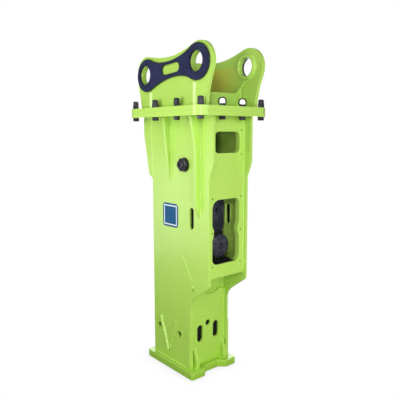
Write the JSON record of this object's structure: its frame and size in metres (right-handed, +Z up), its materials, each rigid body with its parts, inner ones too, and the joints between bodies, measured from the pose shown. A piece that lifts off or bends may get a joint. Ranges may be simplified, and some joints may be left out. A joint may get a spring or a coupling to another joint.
{
  "type": "hydraulic breaker hammer",
  "caption": "Box-housed hydraulic breaker hammer for an excavator arm, with a pin bracket on a bolted flange and the power cell inside; no chisel fitted.",
  "frame": {"origin": "on the floor under the middle of the overall box, with the hammer standing upright; the tool axis is at x = -0.0975", "axes": "+Z up along the tool axis, +X towards the front panel with the windows, +Y from the near to the far side plate, along the bracket's pin bores"},
  "size_m": [0.6619, 0.5, 1.82],
  "materials": {
    "housing_paint": "glossy lime-green enamel",
    "black_paint": "semi-gloss black enamel",
    "black_steel": "black-oxide steel",
    "ground_steel": "ground hardened steel",
    "bronze": "machined bronze",
    "rubber": "matt black elastomer"
  },
  "bodies": {
    "housing": {"side_plate_near": "housing_paint", "side_plate_far": "housing_paint", "front_panel": "housing_paint", "shelf_plate": "housing_paint", "lower_front_plate": "housing_paint", "rear_panel": "housing_paint", "rear_lower_plate": "housing_paint", "base_flange": "housing_paint", "housing_top_flange": "housing_paint", "bracket_base_plate": "housing_paint", "bracket_ear_near": "housing_paint", "bracket_ear_far": "housing_paint", "bracket_front_web": "housing_paint", "bracket_rear_web": "housing_paint", "front_pin_boss_near": "housing_paint", "front_pin_boss_far": "housing_paint", "rear_pin_boss_near": "housing_paint", "rear_pin_boss_far": "housing_paint", "doubler_plate_near": "black_paint", "doubler_plate_far": "black_paint", "side_plug_near": "black_steel", "side_plug_far": "black_steel", "flange_bolt_01": "black_steel", "flange_bolt_02": "black_steel", "flange_bolt_03": "black_steel", "flange_bolt_04": "black_steel", "flange_bolt_05": "black_steel", "flange_bolt_06": "black_steel", "flange_bolt_07": "black_steel", "flange_bolt_08": "black_steel", "flange_bolt_09": "black_steel", "flange_bolt_10": "black_steel", "flange_bolt_11": "black_steel", "flange_bolt_12": "black_steel", "upper_damper": "rubber", "lower_damper": "rubber"},
    "power_cell": {"front_head": "black_paint", "cylinder": "black_paint", "back_head": "black_paint", "through_bolt_1": "black_steel", "through_bolt_2": "black_steel", "through_bolt_3": "black_steel", "through_bolt_4": "black_steel", "lower_tool_bushing": "bronze", "upper_tool_bushing": "bronze", "seal_carrier": "bronze", "valve_body": "black_paint", "valve_cap": "black_steel", "pressure_hose_adapter": "black_steel", "return_hose_adapter": "black_steel", "accumulator_body": "black_paint", "accumulator_diaphragm": "rubber", "accumulator_cover": "black_paint", "gas_charging_valve": "ground_steel", "grease_nipple": "ground_steel"},
    "piston": {"piston": "ground_steel"},
    "valve_spool": {"valve_spool": "ground_steel"},
    "throttle_adjuster": {"throttle_adjuster": "black_steel"},
    "retaining_pin_rear": {"retaining_pin_rear": "ground_steel"},
    "retaining_pin_front": {"retaining_pin_front": "ground_steel"}
  },
  "joints": [
    {"name": "cell_float", "type": "slide", "parent": "housing", "child": "power_cell", "axis": [0, 0, 1], "range_m": [-0.002, 0.002]},
    {"name": "piston_stroke", "type": "slide", "parent": "power_cell", "child": "piston", "axis": [0, 0, 1], "range_m": [0, 0.1]},
    {"name": "spool_shift", "type": "slide", "parent": "power_cell", "child": "valve_spool", "axis": [0, 0, 1], "range_m": [0, 0.02]},
    {"name": "throttle_turn", "type": "hinge", "parent": "power_cell", "child": "throttle_adjuster", "pos_m": [0.1253, 0.035, 0.94], "axis": [1, 0, 0], "range_deg": [0, 360]},
    {"name": "rear_pin_removal", "type": "slide", "parent": "power_cell", "child": "retaining_pin_rear", "axis": [0, -1, 0], "range_m": [0, 0.24]},
    {"name": "front_pin_removal", "type": "slide", "parent": "power_cell", "child": "retaining_pin_front", "axis": [0, -1, 0], "range_m": [0, 0.24]}
  ]
}
